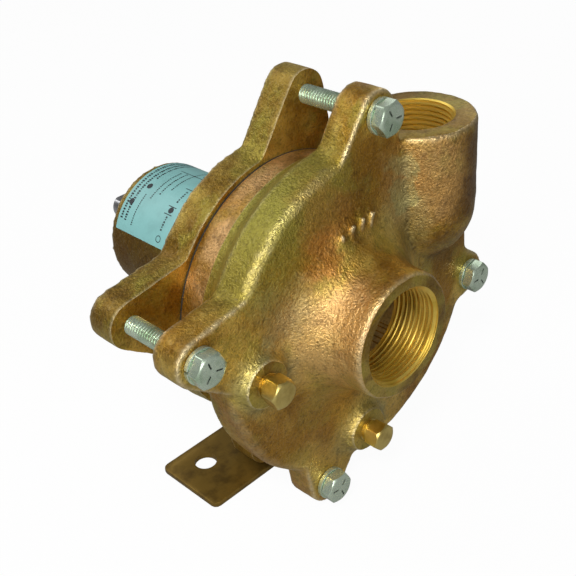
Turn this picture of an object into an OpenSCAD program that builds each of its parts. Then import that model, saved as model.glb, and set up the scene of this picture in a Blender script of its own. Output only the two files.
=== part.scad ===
// Pedestal centrifugal pump with threaded suction and discharge mouths.
// The shaft's axis runs along Y. The suction mouth faces -Y and its centre is the origin.
// The discharge mouth faces +Z on the +X side, and the foot is below.

/* [Casing] */
// Radius of the round scroll
scroll_r = 71; // [69:0.5:73]
// Distance of the scroll's centre from the shaft, towards the discharge
scroll_dx = 6; // [4:0.5:7]
// Distance of the scroll's centre below the shaft
scroll_dz = 4; // [3:0.5:5]
// Depth from the casing's front face to its joint
casing_len = 37; // [36:0.5:44]
// Thickness of the casing's side wall
casing_wall = 5; // [4.5:0.25:6]
// Bulge of the casing's front face towards the suction boss
face_bulge = 1.6; // [0:0.1:2]
// Thickness of the casing's front wall
front_wall = 6; // [5.5:0.25:8]
// Radius of the neck at the joint
neck_r = 57.5; // [56:0.5:58]
// Radius of the opening at the joint
neck_bore_r = 50; // [49.5:0.25:51]

/* [Suction] */
// Length of the suction boss in front of the casing's face
suction_len = 27; // [25:0.5:32]
// Outer radius of the suction boss
suction_r = 26.2; // [24.5:0.25:28]
// Root radius of the suction thread at its mouth
suction_thread_r = 20.9; // [20:0.1:21.5]
// Depth of the suction thread
suction_thread_len = 20; // [16:0.5:22]
// Radius of the eye behind the suction thread
eye_r = 17.5; // [16.5:0.25:18]
// Radius of the fillet between the suction boss and the casing's face
flare_r = 20; // [16:0.5:22]

/* [Discharge] */
// Distance of the discharge axis from the shaft
discharge_x = 54.7; // [53:0.1:56]
// Height of the discharge mouth above the shaft
discharge_z = 63.4; // [60:0.1:72]
// Distance of the discharge axis behind the casing's front face
discharge_dy = 12; // [11:0.5:13]
// Outer radius of the discharge boss
discharge_r = 25.4; // [23.5:0.1:25.6]
// Root radius of the discharge thread at its mouth
discharge_thread_r = 16.6; // [16:0.1:17.5]
// Depth of the discharge thread
discharge_thread_len = 20; // [16:0.5:22]
// Radius of the cored passage below the discharge thread
throat_r = 18; // [17.75:0.25:19]

/* [Ears and bolts] */
// Radius of the bolt circle
bolt_circle_r = 80; // [79:0.5:84]
// Angle of the upper bolt above the discharge side
bolt_turn = 76.2; // [74:0.1:78]
// Thickness of the casing's ears at their tips
front_ear_t = 14; // [12:0.5:15]
// Thickness of the casing's ears where they leave the body
front_ear_root_t = 17; // [16:0.5:20]
// Radius of the fillets between the casing's ears and its body
front_ear_fillet = 14; // [8:0.5:16]
// Radius of the fillets between the frame's ears and its flange
rear_ear_fillet = 7; // [4:0.5:10]
// Radius of an ear's round tip
ear_tip_r = 10; // [9.5:0.25:11]
// Half width of an ear where it leaves the body
ear_root_half = 20.5; // [17:0.5:22]
// Radius of a bolt's shank
bolt_r = 3.94; // [3.5:0.02:4.2]
// Width of a bolt's head across its flats
bolt_head_af = 12.7; // [12:0.1:13.2]
// Height of a bolt's head
bolt_head_t = 5.2; // [4.6:0.1:6]
// Thickness of a lock washer
lock_washer_t = 2; // [1.5:0.1:2.4]
// Outer radius of a lock washer
lock_washer_r = 7.2; // [6.8:0.1:7.6]
// Width of the slit in a lock washer
lock_washer_slit = 1.2; // [0.8:0.1:1.6]

/* [Plugs] */
// Distance of the side plug from the shaft, away from the discharge
plug_side_x = 52; // [51:0.5:55]
// Distance of the side plug below the shaft
plug_side_z = 3; // [0:0.5:8]
// Distance of the lower plug from the shaft, towards the discharge
plug_low_x = 2; // [0:0.5:6]
// Distance of the lower plug below the shaft
plug_low_z = 59.5; // [57:0.5:62]
// Radius of a plug's boss
plug_boss_r = 10; // [8.5:0.1:10.5]
// Height of a plug's boss in front of the casing's face
plug_boss_t = 5; // [4:0.25:6]
// Radius of a plug's threaded shank
plug_r = 5.1; // [4.6:0.05:5.2]
// Length of a plug's shank in the casing
plug_len = 9; // [7:0.5:9.5]
// Neck between a plug's boss and its head
plug_neck_t = 2.75; // [1:0.25:3.5]
// Width of a plug's head across its flats
plug_head_af = 11.1; // [10.6:0.1:12]
// Height of a plug's head
plug_head_t = 6.5; // [5:0.25:8]

/* [Frame] */
// Thickness of the gasket in the joint
gasket_t = 0.8; // [0.5:0.1:1.2]
// Thickness of the frame's flange and ears
flange_t = 14.2; // [12:0.2:15]
// Radius of the flange at the joint
flange_front_r = 59.4; // [58.2:0.1:60]
// Radius of the flange at its rear edge
flange_rear_r = 60.8; // [60:0.1:61.5]
// Reach of the flange's spigot into the casing
spigot_len = 8; // [7.5:0.25:8.5]
// Length of the bearing barrel behind the flange
barrel_len = 69; // [68:0.5:76]
// Outer radius of the bearing barrel
barrel_r = 30; // [28:0.25:32]
// Radius of the drain hole below the slinger
weep_r = 4; // [3:0.25:4.5]

/* [Foot] */
// Depth of the foot's underside below the shaft
foot_drop = 91.5; // [91:0.5:96]
// Thickness of the foot plate
foot_t = 2.6; // [2:0.1:3]
// Width of the foot plate across the pump
foot_w = 109; // [100:1:116]
// Length of the foot plate along the pump
foot_len = 37.5; // [36:0.5:44]
// Overhang of the foot plate in front of the flange's rear face
foot_fore = 16; // [12:0.5:17]
// Distance between the foot's two bolt holes
foot_hole_gap = 77; // [74:1:84]
// Radius of a foot bolt hole
foot_hole_r = 5.15; // [4.5:0.05:5.5]
// Distance of the hole line behind the foot plate's front edge
foot_hole_dy = 25; // [22:0.5:27]
// Cut across the foot plate's corners
foot_corner = 3; // [2:0.25:5]
// Thickness of the foot's upright
upright_t = 5; // [4:0.25:6]
// Width of the foot's upright
upright_w = 40; // [36:1:46]
// Distance of the foot's screws below the shaft
foot_screw_z = 46; // [45:0.5:47]
// Distance between the foot's screws
foot_screw_gap = 24; // [22:0.5:28]
// Radius of a foot screw's shank
foot_screw_r = 3; // [2.5:0.05:3.2]

/* [Shaft] */
// Radius of the shaft at the impeller, the seal and the drive end
shaft_r = 6.35; // [6.2:0.05:6.6]
// Radius of the shaft in the bearings
bearing_seat_r = 7.5; // [7.4:0.05:7.6]
// Radius of the shaft between the bearings
spacer_r = 9.2; // [8.6:0.1:9.6]
// Radius of the shaft in the impeller's hub
hub_seat_r = 5.2; // [5:0.05:5.6]
// Radius of the threaded end that holds the impeller's nut
stud_r = 4; // [3.5:0.1:4.4]
// Length of the drive end past the barrel
drive_len = 32; // [28:0.5:40]
// Depth of the drive end's flat
flat_depth = 1.6; // [1:0.1:2.2]
// Length of the drive end's flat
flat_len = 15; // [12:0.5:17]
// Bevel on the shaft's ends
shaft_bevel = 1; // [0.6:0.1:1.5]

/* [Impeller] */
// Outer radius of the impeller
impeller_r = 47; // [44:0.5:48]
// Thickness of the impeller's disc
disc_t = 3.5; // [3:0.1:4]
// Thickness of a vane
vane_t = 3; // [2.4:0.1:3.6]
// Number of vanes
vane_n = 5; // [4:1:7]
// Radius of the impeller's hub
hub_r = 11; // [10.2:0.1:12]
// Side of the impeller's square key
key_side = 3; // [2.5:0.1:3.2]
// Length of the impeller's key
key_len = 12; // [10:0.5:13]

/* [Seal] */
// Radius of the chamber round the seal
seal_chamber_r = 17; // [16.5:0.1:18]
// Outer radius of the seat's rubber cup
seat_cup_r = 14.3; // [13.8:0.1:14.8]
// Outer radius of the ceramic seat
seat_r = 11.6; // [11.2:0.1:12]
// Length of the seat's cup
seat_cup_len = 7; // [6.5:0.25:8]
// Outer radius of the carbon ring
carbon_r = 9.8; // [9.6:0.05:10]
// Length of the carbon ring
carbon_len = 4; // [3.5:0.25:5]
// Outer radius of the seal's retainer
retainer_r = 12; // [11.7:0.1:12.6]
// Length of the seal's retainer
retainer_len = 5; // [4.5:0.25:6]
// Outer radius of the bellows' sleeve
bellows_r = 8.4; // [8.2:0.05:8.6]
// Mean radius of the spring's coils
spring_r = 10; // [9.6:0.1:10.4]
// Diameter of the spring's wire
spring_wire = 1.3; // [1.1:0.05:1.5]
// Number of the spring's turns
spring_turns = 4; // [3:1:5]

/* [Bearings] */
// Outer radius of a bearing
bearing_r = 17.5; // [17:0.1:18]
// Width of a bearing
bearing_w = 11; // [10:0.25:12]
// Number of balls in a bearing
ball_n = 8; // [6:1:8]
// Radius of a ball
ball_r = 2.95; // [2.8:0.05:3]
// Running clearance round the balls
ball_gap = 0.05; // [0.03:0.01:0.08]
// Distance of the rear bearing from the barrel's end
bearing_rim = 4; // [3:0.25:5]
// Thickness of the retaining ring behind the rear bearing
snap_t = 1.2; // [1:0.1:1.5]
// Outer radius of the slinger
slinger_r = 14; // [12:0.25:14.5]
// Thickness of the slinger
slinger_t = 3; // [2:0.25:4]

/* [Label] */
// Length of the label along the barrel
label_len = 44; // [38:1:48]
// Lower edge of the label, as an angle from the discharge side
label_end = 158; // [140:1:170]
// Far edge of the label, as an angle from the discharge side
label_start = 40; // [20:1:60]
// Thickness of the label
label_t = 0.3; // [0.2:0.05:0.5]

/* [Hidden] */
// Names of the separate pieces
$fn = 96;

// Clearance of a turned or threaded fit
fit = 0.05;
// Clearance of a hole round a bolt that only passes through
bolt_clearance = 0.35;
// Clearance between parts that run past each other without touching
running_gap = 1.5;
// Clearance between the seal's two faces
face_gap = 0.04;
// Overrun of cuts past a face
over = 1;
// Sink of one part of a casting into another
sink = 3;
// Steps in a rounded corner of a turned outline
arc_steps = 8;

// Colours
bronze = [0.60, 0.44, 0.18];
dark_bronze = [0.44, 0.31, 0.13];
zinc = [0.76, 0.80, 0.76];
brass = [0.80, 0.64, 0.28];
steel = [0.66, 0.67, 0.70];
rubber = [0.13, 0.13, 0.14];
carbon = [0.22, 0.22, 0.23];
ceramic = [0.92, 0.90, 0.84];
pale_label = [0.62, 0.80, 0.80];

// Stations along the shaft's axis
ear_y = suction_len;
chamber_y = ear_y + front_wall;
joint_y = ear_y + casing_len;
flange_y = joint_y + gasket_t;
spigot_y = flange_y - spigot_len;
barrel_y = flange_y + flange_t;
barrel_end_y = barrel_y + barrel_len;
shaft_end_y = barrel_end_y + drive_len;
discharge_y = ear_y + discharge_dy;

// Outline of the scroll, as shares of the casing's depth and of its wall
waist_share = 0.4;
shoulder_share = 0.62;
neck_share = 0.82;
shoulder_drop_share = 1.3;
waist_y = ear_y + casing_len * waist_share;
shoulder_y = ear_y + casing_len * shoulder_share;
neck_y = ear_y + casing_len * neck_share;
shoulder_r = scroll_r - casing_wall * shoulder_drop_share;
chamber_r = scroll_r - casing_wall;

// Mouths and bosses
rim_bevel = 1.2;
discharge_bevel = 2;
discharge_root_z = 25;

// Tongue between the scroll's start and the discharge
tongue_angle = 52;
tongue_span = 24;
tongue_gap = 2;

// Ears
ear_run = 24;
ear_room = 1;
seat_room = 0.3;
bolt_n = 4;

// Seat, slinger and bearings in the frame
seat_end_y = barrel_y + seat_cup_len;
web_t = 4;
web_bore_r = shaft_r + running_gap;
slinger_room_y = seat_end_y + web_t;
slinger_room_len = 10;
bearing_shoulder = 1.2;
slinger_room_r = bearing_r - bearing_shoulder;
slinger_y = slinger_room_y + (slinger_room_len - slinger_t) / 2;
front_bearing_y = slinger_room_y + slinger_room_len;
snap_y = barrel_end_y - bearing_rim;
rear_bearing_y = snap_y - bearing_w;
snap_sink = 1;
snap_band = 2.4;
snap_mouth = 9;
barrel_root = 4;
barrel_bevel = 1.5;

// Impeller
disc_y = spigot_y - running_gap - disc_t;
vane_y = chamber_y + running_gap;
vane_root_gap = 2;
vane_root_r = hub_r + vane_root_gap;
vane_wrap = 100;
vane_steps = 12;
vane_tip_gap = 0.5;
vane_tip_r = impeller_r - vane_tip_gap;
vane_slope = atan(ln(vane_tip_r / vane_root_r) / (vane_wrap * PI / 180));
hub_inset = 3.5;
hub_y = vane_y + hub_inset;
hub_end_y = spigot_y + running_gap;
nut_washer_t = 1.2;
nut_t = 5;
nut_af = 13;
nut_washer_r = 7.8;
stud_over = 1;
stud_y = hub_y - nut_washer_t - nut_t - stud_over;
key_inset = 3;
key_y = hub_y + key_inset;

// Seal
seat_proud = 1;
seat_lip = 1.5;
seat_face_y = barrel_y - seat_proud;
carbon_y = seat_face_y - face_gap - carbon_len;
retainer_lip = 1.2;
retainer_y = carbon_y - retainer_lip;
carbon_play = 0.4;
carbon_bore_r = shaft_r + carbon_play;
spring_y = hub_end_y + fit + spring_wire / 2;
spring_len = retainer_y - hub_end_y - spring_wire - 2 * fit;
spring_sides = 6;
spring_steps = 20;

// Bearings
ball_circle_r = (bearing_r + bearing_seat_r) / 2;
groove_r = ball_r + ball_gap;
ring_land = 1.9;
outer_land_r = ball_circle_r + ring_land;
inner_land_r = ball_circle_r - ring_land;
shield_t = 0.4;
shield_inset = 0.5;
shield_gap = 0.35;
cage_half_t = 0.6;
cage_rail = 0.6;
cage_half_len = ball_r + cage_rail;

// Bolts, screws and plugs
bolt_tip_gap = 1;
tap_gap = 0.03;
head_bevel_share = 0.48;
head_bevel_angle = 30;
foot_screw_head_t = 4;
foot_screw_af = 10;
foot_washer_t = 1.4;
foot_washer_r = 6.2;
foot_screw_sink = 9;
foot_screw_cover = 10;

// Label
label_margin = 3.5;
wedge_steps = 6;

// Places of the two plugs, across and up from the shaft
plug_side = [-plug_side_x, -plug_side_z];
plug_low = [plug_low_x, -plug_low_z];

// Points along an arc about a centre.
function arc(c, r, a0, a1) =
    [for (i = [0:arc_steps])
        let (a = a0 + (a1 - a0) * i / arc_steps)
        [c[0] + r * cos(a), c[1] + r * sin(a)]];

// Points of a wedge from the axis, between two angles.
function wedge(r, a0, a1, n) =
    concat([[0, 0]], [for (i = [0:n]) let (a = a0 + (a1 - a0) * i / n) [r * cos(a), r * sin(a)]]);

// One edge of a vane, moved sideways by half of its thickness.
function vane_edge(side) =
    [for (i = [0:vane_steps])
        let (t = i / vane_steps, r = vane_root_r * pow(vane_tip_r / vane_root_r, t))
        let (a = -vane_wrap * t + side * vane_t / sin(vane_slope) / 2 / r * 180 / PI)
        [r * cos(a), r * sin(a)]];

// Extrudes an outline, drawn as X across and Z up, between two stations along Y.
module slab(y0, y1) {
    translate([0, y1, 0]) rotate([90, 0, 0]) linear_extrude(y1 - y0) children();
}

// Solid round bar or cone along Y.
module rod(y0, y1, r, r_end = -1) {
    translate([0, y0, 0]) rotate([-90, 0, 0]) cylinder(h = y1 - y0, r1 = r, r2 = r_end < 0 ? r : r_end);
}

// Ring along Y.
module ring(y0, y1, r_out, r_in) {
    difference() {
        rod(y0, y1, r_out);
        rod(y0 - over, y1 + over, r_in);
    }
}

// Turns an outline of radius and Y about the shaft's axis.
module turned() {
    rotate([-90, 0, 0]) rotate_extrude() children();
}

// Puts its children at each bolt of the bolt circle.
module at_bolts() {
    for (i = [0:bolt_n - 1])
        rotate([0, -bolt_turn - 360 * i / bolt_n, 0]) translate([bolt_circle_r, 0, 0]) children();
}

// Puts its children at a plug.
module at_plug(place) {
    translate([place[0], 0, place[1]]) children();
}

// Puts its children at both screws of the foot.
module at_foot_screws() {
    for (side = [-1, 1])
        translate([side * foot_screw_gap / 2, 0, -foot_screw_z]) children();
}

// Hex head with a bevelled face, standing on z = 0.
module hex_head(af, t) {
    face_r = af * head_bevel_share;
    intersection() {
        cylinder(h = t, r = af / sqrt(3), $fn = 6);
        cylinder(h = t, r1 = face_r + t / tan(head_bevel_angle), r2 = face_r);
    }
}

// Hex screw whose head stands on z = 0 and whose shank points down.
module hex_screw(af, head_t, r, length) {
    hex_head(af, head_t);
    translate([0, 0, -length]) cylinder(h = length + head_t / 2, r = r);
}

// Outline of one ear that reaches out along X to a bolt at the origin, or of the room that it needs.
module ear_outline(room = 0) {
    tip = ear_tip_r + room;
    half = ear_root_half + room;
    reach = sqrt(ear_run * ear_run + half * half);
    slope = asin(tip / reach) - atan(half / ear_run);
    touch = [-tip * sin(slope), tip * cos(slope)];
    circle(r = tip);
    polygon([[-ear_run, -half], [touch[0], -touch[1]], touch, [-ear_run, half]]);
}

// Plan of the ears, filleted into a round body.
module ear_plan(fillet, body_r, body_place) {
    offset(r = -fillet) offset(r = fillet) {
        translate(body_place) circle(r = body_r);
        at_bolt_plan() ear_outline();
    }
}

// The casing's ears, which grow thicker towards the body.
module front_ears() {
    tip = bolt_circle_r + ear_tip_r + over;
    intersection() {
        slab(ear_y, ear_y + front_ear_root_t)
            ear_plan(front_ear_fillet, chamber_r, [scroll_dx, -scroll_dz]);
        turned() polygon([
            [0, ear_y], [tip, ear_y], [tip, ear_y + front_ear_t],
            [chamber_r, ear_y + front_ear_root_t], [0, ear_y + front_ear_root_t]]);
    }
}

// The scroll as a solid of revolution about its own centre.
module scroll() {
    translate([scroll_dx, 0, -scroll_dz]) turned() polygon(concat(
        [[0, ear_y - face_bulge], [suction_r, ear_y - face_bulge]],
        arc([chamber_r, ear_y + casing_wall], casing_wall, -90, 0),
        [[scroll_r, waist_y], [shoulder_r, shoulder_y], [neck_r, neck_y], [0, neck_y]]));
}

// The room inside the scroll.
module scroll_room() {
    translate([scroll_dx, 0, -scroll_dz]) turned() polygon([
        [0, chamber_y], [chamber_r, chamber_y], [chamber_r, waist_y - casing_wall / 2],
        [shoulder_r - casing_wall, shoulder_y - casing_wall / 2],
        [neck_bore_r - casing_wall, neck_y - casing_wall], [0, neck_y - casing_wall]]);
    rod(chamber_y, joint_y + over, neck_bore_r);
}

// Boss and flare round the suction mouth.
module suction_boss() {
    turned() polygon(concat(
        [[0, 0], [suction_r - rim_bevel, 0], [suction_r, rim_bevel]],
        arc([suction_r + flare_r, ear_y - flare_r], flare_r, 180, 90),
        [[suction_r + flare_r, ear_y + sink], [0, ear_y + sink]]));
}

// Boss round the discharge mouth, with a round foot.
module discharge_boss() {
    translate([discharge_x, discharge_y, discharge_root_z]) {
        sphere(r = discharge_r);
        cylinder(h = discharge_z - discharge_root_z - discharge_bevel, r = discharge_r);
    }
    translate([discharge_x, discharge_y, discharge_z - discharge_bevel])
        cylinder(h = discharge_bevel, r1 = discharge_r, r2 = discharge_r - discharge_bevel);
}

// Boss of one drain plug, with a slight draft.
module plug_boss() {
    rod(ear_y - plug_boss_t, ear_y + sink, plug_boss_r, plug_boss_r + rim_bevel);
}

// Tongue that parts the scroll's start from the discharge.
module tongue() {
    intersection() {
        scroll();
        slab(chamber_y - over, shoulder_y) difference() {
            polygon(wedge(scroll_r, tongue_angle, tongue_angle + tongue_span, wedge_steps));
            circle(r = impeller_r + tongue_gap);
        }
    }
}

// Passages of the suction and the discharge.
module casing_passages() {
    rod(-over, suction_thread_len, suction_thread_r);
    rod(suction_thread_len - over, chamber_y + over, eye_r);
    translate([discharge_x, discharge_y, discharge_z - discharge_thread_len])
        cylinder(h = discharge_thread_len + over, r = discharge_thread_r);
    translate([discharge_x, discharge_y, discharge_root_z]) {
        sphere(r = throat_r);
        cylinder(h = discharge_z - discharge_root_z - discharge_thread_len + over, r = throat_r);
    }
}

module volute_casing() {
    color(bronze) difference() {
        union() {
            difference() {
                union() {
                    scroll();
                    rod(shoulder_y, joint_y, neck_r);
                    suction_boss();
                    discharge_boss();
                    front_ears();
                    at_plug(plug_side) plug_boss();
                    at_plug(plug_low) plug_boss();
                }
                scroll_room();
            }
            tongue();
        }
        casing_passages();
        at_bolts() rod(ear_y - over, joint_y + over, bolt_r + bolt_clearance);
        at_bolts() rod(ear_y - lock_washer_t - bolt_head_t, ear_y, lock_washer_r + seat_room);
        at_plug(plug_side) rod(ear_y - plug_boss_t - over, chamber_y + over, plug_r + tap_gap);
        at_plug(plug_low) rod(ear_y - plug_boss_t - over, chamber_y + over, plug_r + tap_gap);
    }
}

// Puts its flat children at each bolt of the bolt circle.
module at_bolt_plan() {
    for (i = [0:bolt_n - 1])
        rotate(bolt_turn + 360 * i / bolt_n) translate([bolt_circle_r, 0]) children();
}

module casing_gasket() {
    color(rubber) ring(joint_y, flange_y, neck_r, neck_bore_r);
}

module frame_solid() {
    rod(spigot_y, flange_y + sink, neck_bore_r - fit);
    rod(flange_y, barrel_y, flange_front_r, flange_rear_r);
    slab(flange_y, barrel_y) ear_plan(rear_ear_fillet, flange_front_r - over, [0, 0]);
    rod(barrel_y, barrel_y + barrel_root, barrel_r + barrel_root, barrel_r);
    rod(barrel_y - sink, barrel_end_y - barrel_bevel, barrel_r);
    rod(barrel_end_y - barrel_bevel, barrel_end_y, barrel_r, barrel_r - barrel_bevel);
}

module pedestal_frame() {
    color(dark_bronze) difference() {
        frame_solid();
        rod(spigot_y - over, barrel_y, seal_chamber_r);
        rod(barrel_y - over, seat_end_y, seat_cup_r + fit);
        rod(seat_end_y - over, slinger_room_y + over, web_bore_r);
        rod(slinger_room_y, front_bearing_y + over, slinger_room_r);
        rod(front_bearing_y, barrel_end_y + over, bearing_r + fit);
        rod(snap_y, snap_y + snap_t + fit, bearing_r + snap_sink);
        translate([0, slinger_room_y + slinger_room_len / 2, -barrel_r - over])
            cylinder(h = barrel_r, r = weep_r);
        at_bolts() rod(flange_y - over, barrel_y + over, bolt_r + tap_gap);
        at_foot_screws() rod(barrel_y - foot_screw_sink - over, barrel_y + over, foot_screw_r + tap_gap);
    }
}

module casing_bolts() {
    shank = barrel_y - bolt_tip_gap - ear_y + lock_washer_t;
    color(zinc) at_bolts() translate([0, ear_y - lock_washer_t, 0]) rotate([90, 0, 0])
        hex_screw(bolt_head_af, bolt_head_t, bolt_r, shank);
}

module lock_washers() {
    color(zinc) at_bolts() difference() {
        ring(ear_y - lock_washer_t, ear_y, lock_washer_r, bolt_r + bolt_clearance);
        translate([0, ear_y - lock_washer_t - over, -lock_washer_slit / 2])
            cube([lock_washer_r + over, lock_washer_t + 2 * over, lock_washer_slit]);
    }
}

// Hex-head pipe plug with a round neck.
module drain_plug(place) {
    color(brass) at_plug(place) translate([0, ear_y - plug_boss_t - plug_neck_t, 0]) rotate([90, 0, 0])
        hex_screw(plug_head_af, plug_head_t, plug_r, plug_len + plug_neck_t);
}

module side_drain_plug() {
    drain_plug(plug_side);
}

module lower_drain_plug() {
    drain_plug(plug_low);
}

// Foot plate with its upright, one weldment.
module foot_bracket() {
    plate_y = barrel_y - foot_fore;
    upright_top = -foot_screw_z + foot_screw_cover;
    upright_h = upright_top + foot_drop;
    color(dark_bronze) difference() {
        union() {
            translate([0, plate_y, -foot_drop]) linear_extrude(foot_t) foot_outline();
            translate([-upright_w / 2, barrel_y, -foot_drop]) cube([upright_w, upright_t, upright_h]);
        }
        for (side = [-1, 1])
            translate([side * foot_hole_gap / 2, plate_y + foot_hole_dy, -foot_drop - over])
                cylinder(h = foot_t + 2 * over, r = foot_hole_r);
        at_foot_screws() rod(barrel_y - over, barrel_y + upright_t + over, foot_screw_r + bolt_clearance);
        slab(flange_y - ear_room, barrel_y) at_bolt_plan() ear_outline(ear_room);
    }
}

// Foot plate seen from above, with its front edge on X and its corners cut.
module foot_outline() {
    half = foot_w / 2;
    polygon([
        [-half + foot_corner, 0], [half - foot_corner, 0], [half, foot_corner],
        [half, foot_len - foot_corner], [half - foot_corner, foot_len], [-half + foot_corner, foot_len],
        [-half, foot_len - foot_corner], [-half, foot_corner]]);
}

module foot_screws() {
    shank = upright_t + foot_washer_t + foot_screw_sink;
    color(zinc) at_foot_screws() translate([0, barrel_y + upright_t + foot_washer_t, 0])
        rotate([-90, 0, 0]) hex_screw(foot_screw_af, foot_screw_head_t, foot_screw_r, shank);
}

module foot_washers() {
    start = barrel_y + upright_t;
    color(zinc) at_foot_screws()
        ring(start, start + foot_washer_t, foot_washer_r, foot_screw_r + bolt_clearance);
}

module data_label() {
    label_far_y = barrel_end_y - label_margin;
    color(pale_label) slab(label_far_y - label_len, label_far_y) intersection() {
        difference() {
            circle(r = barrel_r + fit + label_t);
            circle(r = barrel_r + fit);
        }
        polygon(wedge(2 * barrel_r, label_start, label_end, wedge_steps));
    }
}

module shaft() {
    color(steel) difference() {
        union() {
            rod(stud_y, hub_y + over, stud_r);
            rod(hub_y + fit, hub_end_y, hub_seat_r);
            rod(hub_end_y, front_bearing_y, shaft_r);
            rod(front_bearing_y - over, snap_y, bearing_seat_r);
            rod(front_bearing_y + bearing_w, rear_bearing_y, spacer_r);
            rod(snap_y - over, shaft_end_y - shaft_bevel, shaft_r);
            rod(shaft_end_y - shaft_bevel, shaft_end_y, shaft_r, shaft_r - shaft_bevel);
        }
        translate([-shaft_r, shaft_end_y - flat_len, shaft_r - flat_depth])
            cube([2 * shaft_r, flat_len + over, flat_depth + over]);
        translate([-key_side / 2 - fit, key_y - fit, hub_seat_r - key_side / 2 - fit])
            cube([key_side + 2 * fit, key_len + 2 * fit, key_side]);
    }
}

// Plan of one vane.
module vane() {
    polygon(concat(vane_edge(-1), [for (i = [vane_steps:-1:0]) vane_edge(1)[i]]));
}

module impeller() {
    color(bronze) difference() {
        union() {
            rod(hub_y, hub_end_y, hub_r);
            rod(disc_y, disc_y + disc_t, impeller_r);
            slab(vane_y, disc_y + disc_t / 2) for (i = [0:vane_n - 1]) rotate(360 * i / vane_n) vane();
        }
        rod(vane_y - over, hub_end_y + over, hub_seat_r + fit);
        translate([-key_side / 2 - fit, hub_y - over, 0])
            cube([key_side + 2 * fit, hub_end_y - hub_y + 2 * over, hub_seat_r + key_side / 2 + fit]);
    }
}

module impeller_key() {
    color(steel) translate([-key_side / 2, key_y, hub_seat_r - key_side / 2])
        cube([key_side, key_len, key_side]);
}

module impeller_washer() {
    color(steel) ring(hub_y - nut_washer_t, hub_y, nut_washer_r, stud_r + fit);
}

module impeller_nut() {
    color(steel) translate([0, hub_y - nut_washer_t, 0]) rotate([90, 0, 0]) difference() {
        hex_head(nut_af, nut_t);
        translate([0, 0, -over]) cylinder(h = nut_t + 2 * over, r = stud_r + fit);
    }
}

module seal_seat() {
    color(ceramic) ring(seat_face_y, seat_end_y - seat_lip, seat_r, web_bore_r);
}

module seal_seat_cup() {
    color(rubber) difference() {
        rod(barrel_y, seat_end_y, seat_cup_r);
        rod(barrel_y - over, seat_end_y - seat_lip, seat_r + fit);
        rod(barrel_y - over, seat_end_y + over, web_bore_r);
    }
}

module seal_carbon_ring() {
    color(carbon) ring(carbon_y, carbon_y + carbon_len, carbon_r, carbon_bore_r);
}

module seal_retainer() {
    color(steel) difference() {
        rod(retainer_y, retainer_y + retainer_len, retainer_r);
        rod(carbon_y, retainer_y + retainer_len + over, carbon_r + fit);
        rod(retainer_y - over, carbon_y + over, carbon_bore_r);
    }
}

module seal_bellows() {
    color(rubber) ring(hub_end_y + fit, retainer_y - fit, bellows_r, shaft_r + fit);
}

// Wire of the spring, swept along its helix with a ring of points at each step.
module seal_spring() {
    rings = spring_turns * spring_steps;
    points = [for (i = [0:rings]) let (a = 360 * i / spring_steps)
        for (j = [0:spring_sides - 1])
            let (b = 360 * j / spring_sides, r = spring_r + spring_wire / 2 * cos(b))
            [r * cos(a), spring_y + spring_len * i / rings + spring_wire / 2 * sin(b), r * sin(a)]];
    sides = [for (i = [0:rings - 1]) for (j = [0:spring_sides - 1])
        let (k = (j + 1) % spring_sides, n = spring_sides)
        each [[i * n + j, i * n + k, (i + 1) * n + k], [i * n + j, (i + 1) * n + k, (i + 1) * n + j]]];
    caps = [
        [for (j = [spring_sides - 1:-1:0]) j],
        [for (j = [0:spring_sides - 1]) rings * spring_sides + j]];
    color(steel) polyhedron(points, concat(sides, caps));
}

module slinger() {
    color(rubber) ring(slinger_y, slinger_y + slinger_t, slinger_r, shaft_r + fit);
}

// Round groove that the balls run in.
module ball_groove(y) {
    turned() translate([ball_circle_r, y + bearing_w / 2]) circle(r = groove_r);
}

module outer_ring(y) {
    color(steel) difference() {
        ring(y, y + bearing_w, bearing_r, outer_land_r);
        ball_groove(y);
    }
}

module inner_ring(y) {
    color(steel) difference() {
        ring(y, y + bearing_w, inner_land_r, bearing_seat_r + fit);
        ball_groove(y);
    }
}

// Balls, and the cage that spaces them.
module ball_set(y) {
    middle = y + bearing_w / 2;
    cage_r = ball_circle_r;
    color(steel) for (i = [0:ball_n - 1])
        rotate([0, 360 * i / ball_n, 0]) translate([ball_circle_r, middle, 0]) sphere(r = ball_r);
    color(brass) difference() {
        ring(middle - cage_half_len, middle + cage_half_len, cage_r + cage_half_t, cage_r - cage_half_t);
        for (i = [0:ball_n - 1])
            rotate([0, 360 * i / ball_n, 0]) translate([0, middle, 0]) rotate([0, 90, 0])
                cylinder(h = bearing_r, r = ball_r + ball_gap);
    }
}

module shields(y) {
    color(steel) for (start = [y + shield_inset, y + bearing_w - shield_inset - shield_t])
        ring(start, start + shield_t, outer_land_r - fit, inner_land_r + shield_gap);
}

module front_bearing_outer_ring() {
    outer_ring(front_bearing_y);
}

module front_bearing_inner_ring() {
    inner_ring(front_bearing_y);
}

module front_bearing_ball_set() {
    ball_set(front_bearing_y);
}

module front_bearing_shields() {
    shields(front_bearing_y);
}

module rear_bearing_outer_ring() {
    outer_ring(rear_bearing_y);
}

module rear_bearing_inner_ring() {
    inner_ring(rear_bearing_y);
}

module rear_bearing_ball_set() {
    ball_set(rear_bearing_y);
}

module rear_bearing_shields() {
    shields(rear_bearing_y);
}

module bearing_retaining_ring() {
    color(steel) difference() {
        ring(snap_y, snap_y + snap_t, bearing_r + snap_sink - fit, bearing_r + snap_sink - snap_band);
        translate([-snap_mouth / 2, snap_y - over, -bearing_r - 2 * snap_sink])
            cube([snap_mouth, snap_t + 2 * over, bearing_r]);
    }
}

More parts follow.
